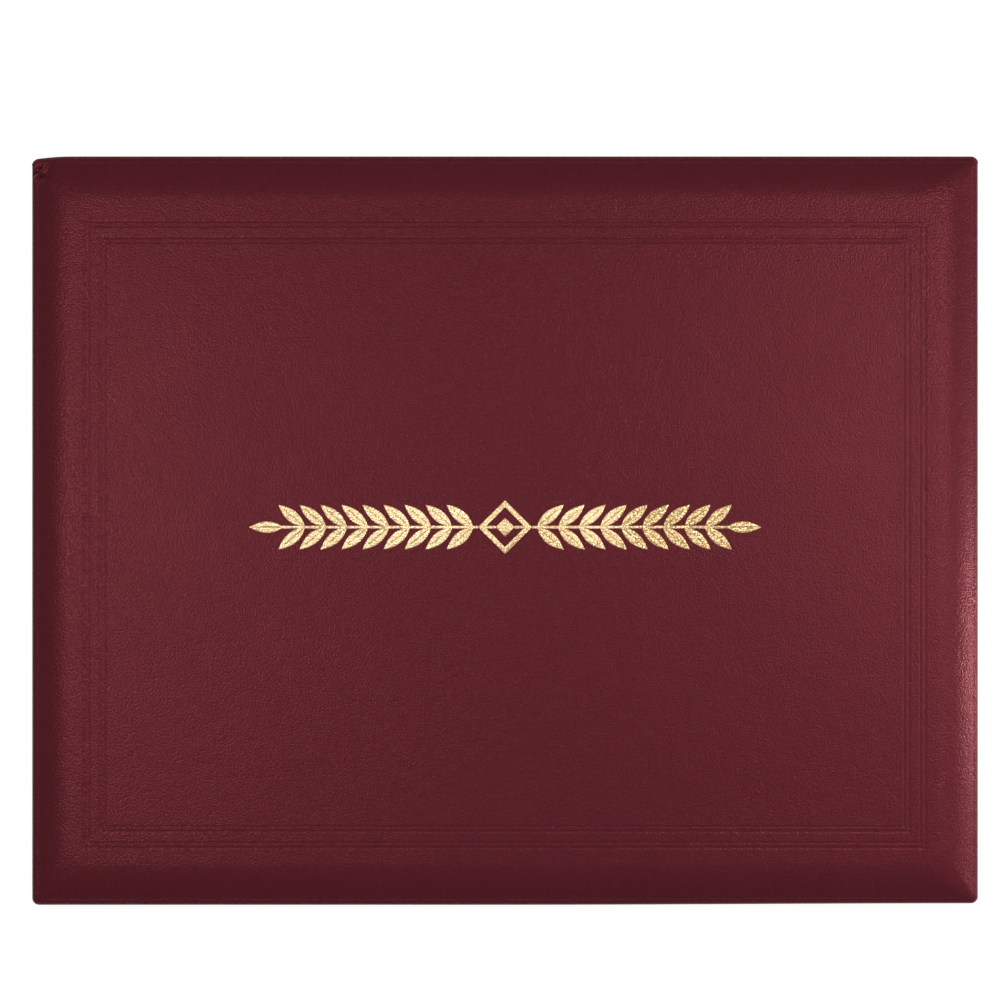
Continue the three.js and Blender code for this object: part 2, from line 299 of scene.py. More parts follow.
def flat_insets(first, last, step):
    """Insets of flat rings, from the middle of a face outwards."""
    count = int((last - first) / step)
    return [first + (last - first) * i / count for i in range(count, 0, -1)]


def cut_away(mesh, low, high):
    """The mesh less a box, as a new mesh."""
    box = bpy.data.meshes.new("cut")
    shape = bmesh.new()
    bmesh.ops.create_cube(shape, size=1.0)
    for vertex in shape.verts:
        vertex.co = [(a + b) / 2 + c * (b - a) for a, b, c in zip(low, high, vertex.co)]
    shape.to_mesh(box)
    shape.free()
    whole, cutter = (bpy.data.objects.new("cut", m) for m in (mesh, box))
    for one in (whole, cutter):
        bpy.context.scene.collection.objects.link(one)
    cut = whole.modifiers.new("cut", "BOOLEAN")
    cut.operation, cut.solver, cut.object = "DIFFERENCE", "EXACT", cutter
    result = bpy.data.meshes.new_from_object(whole.evaluated_get(bpy.context.evaluated_depsgraph_get()))
    for one in (whole, cutter):
        bpy.data.objects.remove(one)
    return result


def opened_at_spine(mesh, low, high):
    """The mesh without the edge that the spine's strip takes over, between two heights."""
    reach = 2 * CORNER_RADIUS
    return cut_away(
        mesh,
        (-COVER_HALF[0] - reach, COVER_HALF[1] - CORNER_RADIUS, low),
        (COVER_HALF[0] + reach, COVER_HALF[1] + reach, high),
    )


def slackened(x, y):
    """Where a plan point of the hand-wrapped cover lies: slack at one spine corner, a little askew."""
    slack = CORNER_SLACK * math.exp(-(((x + COVER_HALF[0]) / CORNER_SLACK_LENGTH) ** 2))
    near_spine = smooth((y - COVER_HALF[1] + SLACK_REACH) / SLACK_REACH)
    near_front = smooth((-y - COVER_HALF[1] + SLACK_REACH) / SLACK_REACH)
    askew = FRONT_EDGE_ASKEW * smooth(x / COVER_HALF[0])
    return x, y - slack * near_spine + askew * near_front


def math_of(tree, operation, *values):
    """The result of one operation on values or sockets."""
    return add(tree, "ShaderNodeMath", dict(enumerate(values)), operation=operation).outputs[0]


def noise_of(tree, place, size, detail=2.0, stretch=(1, 1, 1)):
    """Noise of one real size in metres, drawn out along an axis by a stretch below 1."""
    stretched = add(tree, "ShaderNodeVectorMath", {0: place, 1: stretch}, operation="MULTIPLY")
    links = {"Vector": stretched.outputs[0], "Scale": 1 / size, "Detail": detail}
    return add(tree, "ShaderNodeTexNoise", links).outputs["Fac"]


def shade(tree, amount, light, dark):
    """A colour between two sRGB hex colours."""
    links = {0: amount, 6: linear(light), 7: linear(dark)}
    return add(tree, "ShaderNodeMix", links, data_type="RGBA").outputs[2]


def spread(tree, value, low, high, to_low=0.0, to_high=1.0):
    """A value's range moved to another one."""
    links = {"Value": value, "From Min": low, "From Max": high, "To Min": to_low, "To Max": to_high}
    return add(tree, "ShaderNodeMapRange", links).outputs[0]


def bumped(tree, height, depth, normal=None):
    """A normal bent by a pattern of a real depth in metres."""
    links = {"Height": height, "Distance": depth, "Strength": 1.0}
    if normal:
        links["Normal"] = normal
    return add(tree, "ShaderNodeBump", links).outputs[0]


def surface(tree, **sockets):
    """The material's one shader; underscores stand for the spaces in its sockets' names."""
    skin = add(tree, "ShaderNodeBsdfPrincipled", {name.replace("_", " "): v for name, v in sockets.items()})
    add(tree, "ShaderNodeOutputMaterial", {"Surface": skin.outputs[0]})


# PU-coated leatherette, embossed: pebbles 0.6 mm across with fine pores, which catch the softboxes
# as small sparks on the slopes, and a soft orange peel from the cloth below the coating. Its sheen is red,
# because the coating is dyed through.
LEATHER_COLOUR = "#5b2129"
LEATHER_DARK = "#4a1820"
LEATHER_SHEEN = "#ff848b"
PEBBLE, PEBBLE_DEPTH = 0.6 * MM, 0.088 * MM
PEBBLE_DRIFT, PEBBLE_SHIFT = 1.5 * MM, 0.3 * MM
PORE, PORE_SHARE = 0.28 * MM, 0.35
PEEL, PEEL_DEPTH = 4.5 * MM, 0.12 * MM
MOTTLE = 22 * MM
# the mottle darkens the colour at random; the valleys between the pebbles are painted up to 35 % darker, as
# painted shade
MOTTLE_SHADE, PAINTED_VALLEY_SHADE = 0.3, 0.35
LEATHER_ROUGHNESS, LEATHER_SPECULAR = (0.28, 0.32), 0.28
# the middle part of a noise's range, where nearly all its values lie
NOISE_RANGE = (0.3, 0.7)

burgundy_leatherette, tree = new_material("burgundy PU leatherette, pebble grain")
place = add(tree, "ShaderNodeTexCoord").outputs["Object"]
drift = add(tree, "ShaderNodeTexNoise", {"Vector": place, "Scale": 1 / PEBBLE_DRIFT, "Detail": 1.0})
links = {0: drift.outputs["Color"], 1: (PEBBLE_SHIFT,) * 3, 2: place}
drifted = add(tree, "ShaderNodeVectorMath", links, operation="MULTIPLY_ADD").outputs[0]
pebble = add(tree, "ShaderNodeTexVoronoi", {"Vector": drifted, "Scale": 1 / PEBBLE}).outputs["Distance"]
pore = noise_of(tree, place, PORE, 1.5)
grain = math_of(tree, "MULTIPLY_ADD", pore, PORE_SHARE, math_of(tree, "MULTIPLY", pebble, -1.0))
peel = bumped(tree, noise_of(tree, place, PEEL, 1.0), PEEL_DEPTH)
mottle = noise_of(tree, place, MOTTLE, 3.0)
# painted shade: the leatherette's colour darkens in the valleys between the pebbles, where shade falls
painted_valley_shade = spread(tree, pebble, 0.35, 0.75, 0.0, PAINTED_VALLEY_SHADE)
surface(
    tree,
    Base_Color=shade(
        tree, math_of(tree, "MULTIPLY_ADD", mottle, MOTTLE_SHADE, painted_valley_shade), LEATHER_COLOUR, LEATHER_DARK
    ),
    Roughness=spread(tree, mottle, *NOISE_RANGE, *LEATHER_ROUGHNESS),
    Normal=bumped(tree, grain, PEBBLE_DEPTH, peel),
    Specular_IOR_Level=LEATHER_SPECULAR,
    Specular_Tint=linear(LEATHER_SHEEN),
)

section = [(d, EDGE_TOP) for d in flat_insets(EDGE_RADIUS, COVER_HALF[1] - MM, RING_STEP)]
section += arc(EDGE_RADIUS, EDGE_TOP - EDGE_RADIUS, EDGE_RADIUS, UPRIGHT, 0, EDGE_STEPS) + turn_in()
section += reversed(offset(section, LEATHERETTE))
rings = [
    [(*slackened(x, y), z) for x, y, z in ring(COVER_HALF, CORNER_RADIUS - d, d, z)] for d, z in section
]
back_mesh = loft("back_leatherette_wrap", rings, mirrored=True)
back_mesh = opened_at_spine(back_mesh, EDGE_TOP - SEAM, EDGE_TOP)
back_leatherette = to_object("back_leatherette_wrap", back_mesh, burgundy_leatherette)
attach(back_leatherette, "back_cover")
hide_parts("back_leatherette")


# Leatherette of the spine
# The same sheet goes on round the spine, as a strip that follows both corners and folds at two creases.
# It is modelled in two halves that meet at the middle, one for each fold.
FOLD_CREASE = 0.15 * MM
FOLD_CREASE_WIDTH = 0.35 * MM
SPINE_STEPS, SPINE_ROWS = 110, 24
ROWS_TO_FOLD = 1.6


def slab(name, upper, lower):
    """A closed mesh between two grids of points, joined along their rims."""
    rows, columns = len(upper), len(upper[0])
    shape = bmesh.new()
    sides = [[[shape.verts.new(p) for p in row] for row in grid] for grid in (upper, lower)]
    for grid in sides:
        for r in range(rows - 1):
            for c in range(columns - 1):
                shape.faces.new((grid[r][c], grid[r + 1][c], grid[r + 1][c + 1], grid[r][c + 1]))
    rim = [(r, 0) for r in range(rows)] + [(rows - 1, c) for c in range(1, columns)]
    rim += [(r, columns - 1) for r in range(rows - 2, -1, -1)] + [(0, c) for c in range(columns - 2, 0, -1)]
    for (r, c), (s, d) in zip(rim, rim[1:] + rim[:1]):
        shape.faces.new((sides[0][r][c], sides[0][s][d], sides[1][s][d], sides[1][r][c]))
    return finished(name, shape)


def turned_over(grid):
    """The same grid of points on the back cover's side of the middle plane."""
    return [[(x, y, EDGE_TOP - z) for x, y, z in row] for row in grid]


def spine_path(depth):
    """Plan points round both spine corners and along the spine, at a depth inside the outer face."""
    r = CORNER_RADIUS - depth
    a, b = COVER_HALF[0] - CORNER_RADIUS, COVER_HALF[1] - CORNER_RADIUS
    angles = [UPRIGHT * i / CORNER_STEPS for i in range(CORNER_STEPS + 1)]
    points = [(a + r * math.cos(t), b + r * math.sin(t)) for t in angles]
    points += [(a - 2 * a * i / SPINE_STEPS, b + r) for i in range(1, SPINE_STEPS)]
    points += [(-x, y) for x, y in reversed(points[: CORNER_STEPS + 1])]
    return [slackened(x, y) for x, y in points]


def spine_rows(depth):
    """Rows of a spine half from the middle up to its seam, closer by the fold and its shallow valley."""
    rows = []
    for i in range(SPINE_ROWS + 1):
        z = MIDDLE + (SEAM - MIDDLE) * (1 - (1 - i / SPINE_ROWS) ** ROWS_TO_FOLD)
        valley_depth = FOLD_CREASE * math.exp(-(((z - FRONT_FOLD) / FOLD_CREASE_WIDTH) ** 2))
        rows.append([(x, y, z) for x, y in spine_path(depth + valley_depth)])
    return rows


outer, inner = spine_rows(0.0), spine_rows(LEATHERETTE)
spine_upper = to_object(
    "spine_leatherette_front_half", slab("spine_leatherette_front_half", outer, inner), burgundy_leatherette
)
spine_lower = to_object(
    "spine_leatherette_back_half",
    slab("spine_leatherette_back_half", turned_over(outer), turned_over(inner)),
    burgundy_leatherette,
)
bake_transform(spine_upper)
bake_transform(spine_lower)
for half in (spine_upper, spine_lower):
    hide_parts("spine_leatherette")


# Leatherette of the front cover
# The wrap rises from the edge over the foam as a soft slope and lies flat inside it. Two double lines are
# pressed into it blind, its corner by the spine is gathered in a small pucker, and a crease runs round.
EDGE_TILT = math.radians(33)
PILLOW_WIDTH = 13.3 * MM
PILLOW_RADIUS = 7.0 * MM
PILLOW_ROUNDING = 0.6
EDGE_CREASE = 0.12 * MM
CREASE_INSET = 1.6 * MM
CREASE_WIDTH = 0.4 * MM
FRAME_HALF = (132.75 * MM, 99.05 * MM)
FRAME_MIDDLE = (-0.15 * MM, -1.1 * MM)
BAND_PITCH = 5.1 * MM
GROOVES = ((0.0, 1.2 * MM), (1.8 * MM, 2.6 * MM))
GROOVE_DEPTH = 0.11 * MM
GROOVE_RIM = 0.1 * MM
FIELD_RING_STEP = 6 * MM
FIELD_CORE = 1.0 * MM
FIELD_WAVE = 0.10 * MM
FIELD_WAVE_LENGTH = 45 * MM
PUCKER = (-146.4 * MM, 113.6 * MM)
PUCKER_HEIGHT, PUCKER_DEPTH = 1.0 * MM, 1.2 * MM
PUCKER_LENGTH = 2.6 * MM
PUCKER_WIDTH = 0.6 * MM
# the valleys beside the pucker, in its own widths
VALLEY_PLACE, VALLEY_SPREAD = 2.2, 1.5
# places up the slope and across a groove where a ring lies, and the groove's depth there
SLOPE_SHARES = [0, 0.04, 0.09, 0.15, 0.22, 0.29, 0.36, 0.43, 0.5, 0.57, 0.64, 0.7, 0.76, 0.81, 0.85]
SLOPE_SHARES += [0.875, 0.9, 0.92, 0.935, 0.95, 0.965, 0.98]
GROOVE_PROFILE = ((1.0, 0.0), (0.86, 0.55), (0.7, 0.95), (0.3, 0.95), (0.14, 0.55), (0.0, 0.0))

FIELD_TOP = skin_high.z


def crease(d):
    """Depth of the small valley where the wrap leaves the board's edge and the foam begins."""
    return EDGE_CREASE * math.exp(-(((d - CREASE_INSET) / CREASE_WIDTH) ** 2))


def front_section():
    """The front's section below the flat field: slope, edge, wall and turn-in."""
    edge = arc(EDGE_RADIUS, EDGE_TOP - EDGE_RADIUS, EDGE_RADIUS, UPRIGHT - EDGE_TILT, 0, EDGE_STEPS)
    rise = FIELD_TOP - edge[0][1]
    power = math.tan(EDGE_TILT) * PILLOW_WIDTH / rise
    slope = [(edge[0][0] + PILLOW_WIDTH * (1 - u), FIELD_TOP - rise * u**power) for u in SLOPE_SHARES]
    return [(d, z - crease(d)) for d, z in slope + edge] + turn_in()


def plan_radius(d, z):
    """The corner radius in plan: tight at the edge, softer up the padded slope."""
    up_slope = min(max((d - EDGE_RADIUS / 2) / PILLOW_WIDTH, 0.0), 1.0)
    soft_share = up_slope**PILLOW_ROUNDING if z > (EDGE_TOP + INNER_FACE) / 2 else 0.0
    return max(CORNER_RADIUS - d, SHARP_RADIUS) + PILLOW_RADIUS * soft_share


def frame_section():
    """The four pressed grooves, from the innermost outwards, as insets from the frame's outer line."""
    points = []
    for band in (BAND_PITCH, 0.0):
        for start, end in reversed(GROOVES):
            low, high = band + start, band + end
            points.append((high + GROOVE_RIM, FIELD_TOP))
            for share, depth in GROOVE_PROFILE:
                points.append((low + (high - low) * share, FIELD_TOP - GROOVE_DEPTH * depth))
            points.append((low - GROOVE_RIM, FIELD_TOP))
    return points


def hand_made(point):
    """The faults of a hand-wrapped cover: a slow wave, the slack outline and a pucker in one corner."""
    x, y, z = point
    lift = noise.noise(Vector((x, y, 0)) / FIELD_WAVE_LENGTH) * FIELD_WAVE
    padded_share = smooth((z - EDGE_TOP) / (FIELD_TOP - EDGE_TOP))
    # a fold stands across the corner, with the leatherette drawn down on both sides of it
    along = ((x - PUCKER[0]) + (y - PUCKER[1])) / math.sqrt(2) / PUCKER_LENGTH
    across = abs((x - PUCKER[0]) - (y - PUCKER[1])) / math.sqrt(2) / PUCKER_WIDTH
    fold = PUCKER_HEIGHT * math.exp(-(across**2))
    fold -= PUCKER_DEPTH * math.exp(-((across - VALLEY_PLACE) ** 2) / VALLEY_SPREAD)
    fold *= math.exp(-(along**2)) * smooth((z - SEAM) / (EDGE_TOP - SEAM))
    return *slackened(x, y), z + lift * padded_share + fold


first_inset = BAND_PITCH + GROOVES[1][1] + GROOVE_RIM + FIELD_RING_STEP / 2
field = [(d, FIELD_TOP) for d in flat_insets(first_inset, FRAME_HALF[1] - FIELD_CORE, FIELD_RING_STEP)]
section = front_section()
rings = [ring(FRAME_HALF, 0, d, z, FRAME_MIDDLE) for d, z in field + frame_section()]
rings += [ring(COVER_HALF, plan_radius(d, z), d, z) for d, z in section]
rings += [ring(COVER_HALF, plan_radius(d, z), d, z) for d, z in reversed(offset(section, LEATHERETTE))]
front_mesh = loft("front_leatherette_wrap", [[hand_made(p) for p in one] for one in rings])
front_mesh = opened_at_spine(front_mesh, 0.0, SEAM)
front_leatherette = to_object("front_leatherette_wrap", front_mesh, burgundy_leatherette)
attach(front_leatherette, "front_cover")
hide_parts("front_leatherette")


# Binder's boards
# Two boards of pressed grey paper pulp stiffen the covers, glued inside the leatherette. Their faces show
# short fibres and flecks, their cut edges a fine layering.
BOARD_GREY, BOARD_DARK = "#98938a", "#6f6a62"
FIBRE = 1.2 * MM
FLECK = 0.5 * MM
PLY = 0.25 * MM
BOARD_RELIEF = 0.04 * MM
BOARD_ROUGHNESS = (0.86, 0.95)


def dress(name, material):
    """Gives a carried-over node its material."""
    node = frame["nodes"][name]
    node.data.materials.clear()
    node.data.materials.append(material)


# Grey binder's board: matt, felted fibres 1.2 mm long, dark flecks and pressed plies
greyboard, tree = new_material("grey binder's board")
place = add(tree, "ShaderNodeTexCoord").outputs["Object"]
fibres = noise_of(tree, place, FIBRE, 4.0, (1, 0.45, 1))
flecks = spread(tree, noise_of(tree, place, FLECK, 1.0), 0.66, 0.74)
plies = noise_of(tree, place, PLY, 1.0, (0.05, 0.05, 1))
mixed_fibres = math_of(tree, "MAXIMUM", math_of(tree, "MULTIPLY", fibres, 0.8), flecks)
surface(
    tree,
    Base_Color=shade(tree, mixed_fibres, BOARD_GREY, BOARD_DARK),
    Roughness=spread(tree, fibres, *NOISE_RANGE, *BOARD_ROUGHNESS),
    Normal=bumped(tree, math_of(tree, "ADD", fibres, plies), BOARD_RELIEF),
)
for name in ("back_board", "front_board"):
    dress(name, greyboard)


# Foam pad
# A slab of open-cell polyurethane foam lies between the front board and the leatherette and gives the
# cover its padded slope. Its cells are about half a millimetre wide.
FOAM_CREAM, FOAM_SHADE = "#e3ddcb", "#b9b09a"
CELL, CELL_DEPTH = 0.5 * MM, 0.2 * MM
YELLOWING = 30 * MM
FOAM_ROUGHNESS = (0.8, 0.98)

# Polyurethane foam: open cells, dull, yellowed a little in patches
foam, tree = new_material("open-cell polyurethane foam")
place = add(tree, "ShaderNodeTexCoord").outputs["Object"]
cells = add(tree, "ShaderNodeTexVoronoi", {"Vector": place, "Scale": 1 / CELL}).outputs["Distance"]
age = noise_of(tree, place, YELLOWING)
surface(
    tree,
    Base_Color=shade(tree, math_of(tree, "MULTIPLY", cells, age), FOAM_CREAM, FOAM_SHADE),
    Roughness=spread(tree, cells, 0.0, 0.8, *FOAM_ROUGHNESS),
    Normal=bumped(tree, cells, CELL_DEPTH),
)
dress("front_foam_pad", foam)


# Hinge lining
# A thinner strip of the same leatherette lines the spine and runs in under both covers, with a small
# gusset over each fold. It is glued to the spine and to the turn-ins.
LINING_STRIP = 0.4 * MM
STRIP_HALF_LENGTH = COVER_HALF[0] - 2.25 * MM
STRIP_AT_SPINE = COVER_HALF[1] - 1.05 * MM
GUSSET_RADIUS = 0.45 * MM
GUSSET_FOOT = 2.85 * MM
WING_RADIUS = 0.5 * MM
WING_GAP = 0.1 * MM
WING_END = 113.3 * MM
STRIP_STEPS = 60
FOOT_STEPS, GUSSET_STEPS, BEND_STEPS, WING_STEPS = 6, 12, 6, 3


def gusset_profile():
    """The centre line of the upper half in the plane of y and z, with its normals."""
    wing = INNER_FACE - WING_GAP - LINING_STRIP / 2
    top = MIDDLE + GUSSET_FOOT
    centre = STRIP_AT_SPINE - GUSSET_RADIUS
    bend = centre - GUSSET_RADIUS - WING_RADIUS
    heights = [MIDDLE + GUSSET_FOOT * i / FOOT_STEPS for i in range(FOOT_STEPS)]
    points = [((STRIP_AT_SPINE, z), (1, 0)) for z in heights]
    for i in range(GUSSET_STEPS + 1):
        t = math.pi * i / GUSSET_STEPS
        side = (math.cos(t), math.sin(t))
        points.append(((centre + GUSSET_RADIUS * side[0], top + GUSSET_RADIUS * side[1]), side))
    for i in range(BEND_STEPS + 1):
        t = UPRIGHT * i / BEND_STEPS
        side = (-math.cos(t), math.sin(t))
        points.append(((bend - WING_RADIUS * side[0], wing + WING_RADIUS * (1 - side[1])), side))
    for i in range(1, WING_STEPS + 1):
        points.append(((bend + (WING_END - bend) * i / WING_STEPS, wing), (0, 1)))
    return points


def strip_grid(side):
    """Rows of the strip along the spine, on one side of its centre line."""
    xs = [STRIP_HALF_LENGTH * (2 * i / STRIP_STEPS - 1) for i in range(STRIP_STEPS + 1)]
    half = side * LINING_STRIP / 2
    return [[(x, y + ny * half, z + nz * half) for x in xs] for (y, z), (ny, nz) in gusset_profile()]


sides = (strip_grid(1), strip_grid(-1))
over = [turned_over(grid) for grid in sides]
lining_front, lining_back = (
    to_object(name, slab(name, *grids), burgundy_leatherette)
    for name, grids in (("spine_lining_front_half", sides), ("spine_lining_back_half", over))
)
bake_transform(lining_front)
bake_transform(lining_back)
for half in (lining_front, lining_back):
    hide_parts("spine_inner_strip")


# Liner cards
# White card panels close the insides of both covers and carry the fabric. Only their pressed surface
# and cut edges could ever show.
CARD_WHITE, CARD_SHADE = "#e9e6dc", "#d2cdbf"
TOOTH, TOOTH_DEPTH = 0.35 * MM, 0.015 * MM
CLOUD = 18 * MM
CARD_ROUGHNESS = (0.7, 0.82)

# White card: a fine tooth from the felts of the paper machine, and faint clouds in its tone
liner_card, tree = new_material("white liner card")
place = add(tree, "ShaderNodeTexCoord").outputs["Object"]
tooth = noise_of(tree, place, TOOTH, 3.0)
cloud = noise_of(tree, place, CLOUD, 2.0)
surface(
    tree,
    Base_Color=shade(tree, math_of(tree, "MULTIPLY", cloud, tooth), CARD_WHITE, CARD_SHADE),
    Roughness=spread(tree, tooth, *NOISE_RANGE, *CARD_ROUGHNESS),
    Normal=bumped(tree, tooth, TOOTH_DEPTH),
)
for name in ("back_liner_card", "front_liner_card"):
    dress(name, liner_card)


# Moire linings
# Cream ribbed acetate, pressed so that it shows a watered figure, is drawn over each liner card and
# wrapped round the card's edges.
lining_low, lining_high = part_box("back_moire_lining")
LINING_HALF = (lining_high.x, lining_high.y)
LINING_FACE, LINING_FOOT = lining_high.z, lining_low.z
MOIRE = 0.3 * MM
LINING_EDGE = 0.7 * MM
LINING_CORNER = 1.0 * MM
MOIRE_CREAM, MOIRE_SHADE = "#f0eadb", "#cbc0a8"
RIB, RIB_DEPTH = 0.55 * MM, 0.03 * MM
RIB_DRIFT, RIB_DRIFT_LENGTH = 6.0, 9 * MM
FIGURE = 16 * MM
FIGURE_STRETCH = 0.22
FIGURE_LINES = 26.0
FIGURE_TONE, RIB_TONE = 0.55, 0.35
MOIRE_ROUGHNESS = (0.32, 0.55)
LINING_EDGE_STEPS = 6

# Watered acetate: ribs 0.55 mm apart across the cover; the figure follows the level lines of a
# drawn-out noise, brighter where the pressed ribs lie flat
moire, tree = new_material("cream moire acetate, watered")
place = add(tree, "ShaderNodeTexCoord").outputs["Object"]
grain_noise = noise_of(tree, place, FIGURE, 2.0, (FIGURE_STRETCH, 1, 1))
level = math_of(tree, "SINE", math_of(tree, "MULTIPLY", grain_noise, FIGURE_LINES))
figure = spread(tree, level, -1.0, 1.0)
bend = math_of(tree, "MULTIPLY", noise_of(tree, place, RIB_DRIFT_LENGTH, 1.0), RIB_DRIFT)
axes = add(tree, "ShaderNodeSeparateXYZ", {0: place}).outputs
row = math_of(tree, "MULTIPLY_ADD", axes["Y"], 2 * math.pi / RIB, bend)
rib = spread(tree, math_of(tree, "SINE", row), -1.0, 1.0)
pressed = math_of(tree, "MULTIPLY", rib, spread(tree, figure, 0.0, 1.0, 1.0, 0.35))
figure_tone = math_of(tree, "MULTIPLY", figure, FIGURE_TONE)
moire_tone = math_of(tree, "MULTIPLY_ADD", pressed, RIB_TONE, figure_tone)
surface(
    tree,
    Base_Color=shade(tree, moire_tone, MOIRE_CREAM, MOIRE_SHADE),
    Roughness=spread(tree, figure, 0.0, 1.0, *MOIRE_ROUGHNESS),
    Normal=bumped(tree, pressed, RIB_DEPTH),
    Sheen_Weight=0.2,
    Sheen_Roughness=0.4,
)

section = [(d, LINING_FACE) for d in flat_insets(LINING_EDGE, LINING_HALF[1] - MM, RING_STEP)]
section += arc(LINING_EDGE, LINING_FACE - LINING_EDGE, LINING_EDGE, UPRIGHT, 0, LINING_EDGE_STEPS)
section += [(0.0, LINING_FOOT)]
section += reversed(offset(section, MOIRE))
rings = [ring(LINING_HALF, LINING_CORNER - d, d, z) for d, z in section]
for side, mirrored in (("back", False), ("front", True)):
    name = f"{side}_moire_fabric"
    fabric = to_object(name, loft(name, rings, mirrored), moire)
    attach(fabric, f"{side}_cover")
    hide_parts(f"{side}_moire_lining")


# Corner ribbons
# Four satin ribbons, 12 mm wide, cross the corners of the back lining to hold the sheet. Each runs over
# the lining's edges, where its ends are glued down.
RIBBON = 0.35 * MM
RIBBON_WIDTH = 12 * MM
RIBBON_REACH = 44 * MM
RIBBON_GAP = 0.1 * MM
RIBBON_ARCH, RIBBON_ARCH_POWER = 0.12 * MM, 0.7
RIBBON_FIT = 0.3 * MM
RIBBON_BEND = 0.9
RIBBON_WHITE, RIBBON_SHADE = "#f5f1e4", "#d9d0bb"
THREAD, THREAD_DEPTH = 0.16 * MM, 0.02 * MM
WEAVE = 0.4 * MM
SATIN_ROUGHNESS = (0.28, 0.5)
SELVEDGE = 0.9 * MM
RIBBON_ALONG, RIBBON_ACROSS, RIBBON_BEND_STEPS = 40, 12, 5

# Satin: fine threads along the ribbon and a firmer woven selvedge at both edges, found from the
# distance to the lining's corner
satin, tree = new_material("cream satin ribbon")
place = add(tree, "ShaderNodeTexCoord").outputs["Object"]
axes = add(tree, "ShaderNodeSeparateXYZ", {0: place}).outputs
from_middle = math_of(
    tree, "ADD", math_of(tree, "ABSOLUTE", axes["X"]), math_of(tree, "ABSOLUTE", axes["Y"])
)
corner_sum = LINING_HALF[0] + LINING_HALF[1] - RIBBON_REACH
across = math_of(tree, "MULTIPLY", math_of(tree, "SUBTRACT", corner_sum, from_middle), 1 / math.sqrt(2))
threads = math_of(tree, "SINE", math_of(tree, "MULTIPLY", across, 2 * math.pi / THREAD))
weave = noise_of(tree, place, WEAVE, 2.0)
to_edge = math_of(tree, "SUBTRACT", RIBBON_WIDTH / 2, math_of(tree, "ABSOLUTE", across))
selvedge = spread(tree, to_edge, SELVEDGE, SELVEDGE * 0.8)
ribbon_tone = math_of(tree, "MULTIPLY_ADD", weave, 0.5, math_of(tree, "MULTIPLY", selvedge, 0.35))
surface(
    tree,
    Base_Color=shade(tree, ribbon_tone, RIBBON_WHITE, RIBBON_SHADE),
    Roughness=spread(tree, selvedge, 0.0, 1.0, *SATIN_ROUGHNESS),
    Normal=bumped(tree, math_of(tree, "MULTIPLY_ADD", threads, 0.5, weave), THREAD_DEPTH),
    Sheen_Weight=0.25,
    Sheen_Roughness=0.3,
)


def ribbon_grids(side_x, side_y):
    """The ribbon's face and underside: down outside one edge, across the corner and down the other."""
    half = RIBBON_WIDTH / math.sqrt(2)
    turns = [UPRIGHT * i / RIBBON_BEND_STEPS for i in range(1, RIBBON_BEND_STEPS)]
    grids = []
    for thickness in (RIBBON, 0.0):
        top, out = LINING_FACE + RIBBON_GAP + thickness, -RIBBON_FIT - thickness
        radius = thickness * RIBBON_BEND
        end = [(out, LINING_FOOT), (out, LINING_FACE)]
        end += [(out + radius * (1 - math.cos(t)), top - radius * (1 - math.sin(t))) for t in turns]
        grid = []
        for v in range(RIBBON_ACROSS + 1):
            reach = RIBBON_REACH + half * (2 * v / RIBBON_ACROSS - 1)
            row = [(x, reach, z) for x, z in end]
            for i in range(RIBBON_ALONG + 1):
                u = i / RIBBON_ALONG
                lift = RIBBON_ARCH * math.sin(math.pi * u) ** RIBBON_ARCH_POWER
                row.append((reach * u, reach * (1 - u), top + lift))
            row += [(reach, y, z) for y, z in reversed(end)]
            grid.append(
                [(side_x * (LINING_HALF[0] - x), side_y * (LINING_HALF[1] - y), z) for x, y, z in row]
            )
        grids.append(grid)
    return grids


for end_name, side_y in (("spine", 1), ("front", -1)):
    for hand, side_x in (("left", -1), ("right", 1)):
        name = f"corner_satin_{end_name}_{hand}"
        ribbon = to_object(name, slab(name, *ribbon_grids(side_x, side_y)), satin)
        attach(ribbon, "back_cover")
        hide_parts(f"corner_ribbon_{end_name}_{hand}")


# Gold ornament
# Hot-stamped gold foil: a lozenge on a stem, with a branch of leaves to each side. Every leaf has a
# pressed midrib, and all edges are rounded where the hot die sank in. The leaves repeat by a node tree.
foil_low, foil_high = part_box("gold_ornament")
FOIL_BOTTOM, FOIL = foil_low.z, foil_high.z - foil_low.z
FOIL_HALF_LENGTH = (foil_high.x - foil_low.x) / 2
ORNAMENT_Y = (foil_low.y + foil_high.y) / 2
FOIL_RIM = 0.14 * MM
STEM_WIDTH = 1.0 * MM
LOZENGE_HALF = 8.5 * MM
LOZENGE_BAND = 1.6 * MM
HEART_HALF = 3.0 * MM
LEAF_LENGTH, LEAF_WIDTH = 11 * MM, 3.6 * MM
LEAF_ANGLE = math.radians(40)
LEAF_PITCH = 6.6 * MM
FIRST_LEAF = 10 * MM
LEAVES = 9
LEAF_BELLY, LEAF_TIP = 0.45, 0.06
MIDRIB = 0.11 * MM
MIDRIB_WIDTH = 0.09
MIDRIB_END, MIDRIB_FADE = 0.86, 0.1
FOIL_EDGE = 0.01 * MM
LEAF_STEPS, STEM_STEPS = 28, 24
GOLD_COLOUR, GOLD_DEEP = "#fbd9a8", "#a47c3e"
FOIL_GRAIN, FOIL_GRAIN_DEPTH = 0.55 * MM, 0.12 * MM
FOIL_WEAR = 45 * MM
FOIL_METALLIC, FOIL_ROUGHNESS = 0.7, (0.3, 0.46)


def foil_height(v):
    """The height of a pressed foil strip across its width, v from -1 to 1, as a share of its own."""
    return 1 - abs(v) ** 8


